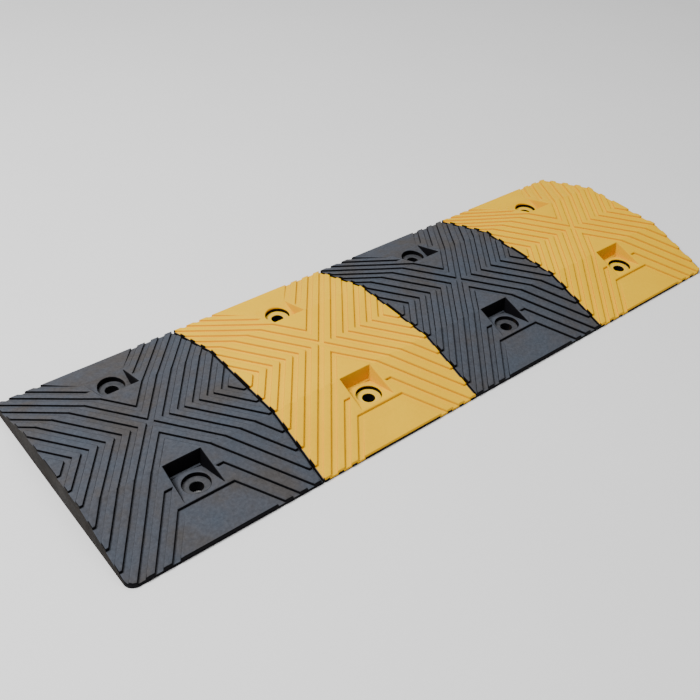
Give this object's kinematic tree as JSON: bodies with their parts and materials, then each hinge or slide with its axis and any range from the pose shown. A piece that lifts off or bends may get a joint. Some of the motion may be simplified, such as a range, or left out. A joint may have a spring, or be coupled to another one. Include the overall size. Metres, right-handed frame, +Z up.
{
  "type": "rubber speed bump",
  "caption": "Modular rubber speed bump with alternating black and yellow ribbed modules, ramps on both sides and recessed bolt pockets.",
  "frame": {"origin": "middle of the row's flat underside, on the ground", "axes": "+X along the row across the road, from the black end module to the yellow end module; +Y along the way traffic drives over; +Z up"},
  "size_m": [1, 0.35, 0.04],
  "materials": {
    "black_rubber": "matt, slightly dusty",
    "yellow_rubber": "matt",
    "black_seat": "matt, worn grey",
    "yellow_seat": "matt, pale"
  },
  "bodies": {
    "root": {"black_module_1": "black_rubber", "yellow_module_2_base": "black_rubber", "yellow_module_2_tread": "yellow_rubber", "black_module_3": "black_rubber", "yellow_module_4_base": "black_rubber", "yellow_module_4_tread": "yellow_rubber", "seat_ring_front_1": "black_seat", "seat_ring_rear_1": "black_seat", "seat_ring_front_2": "yellow_seat", "seat_ring_rear_2": "yellow_seat", "seat_ring_front_3": "black_seat", "seat_ring_rear_3": "black_seat", "seat_ring_front_4": "yellow_seat", "seat_ring_rear_4": "yellow_seat"}
  },
  "joints": []
}
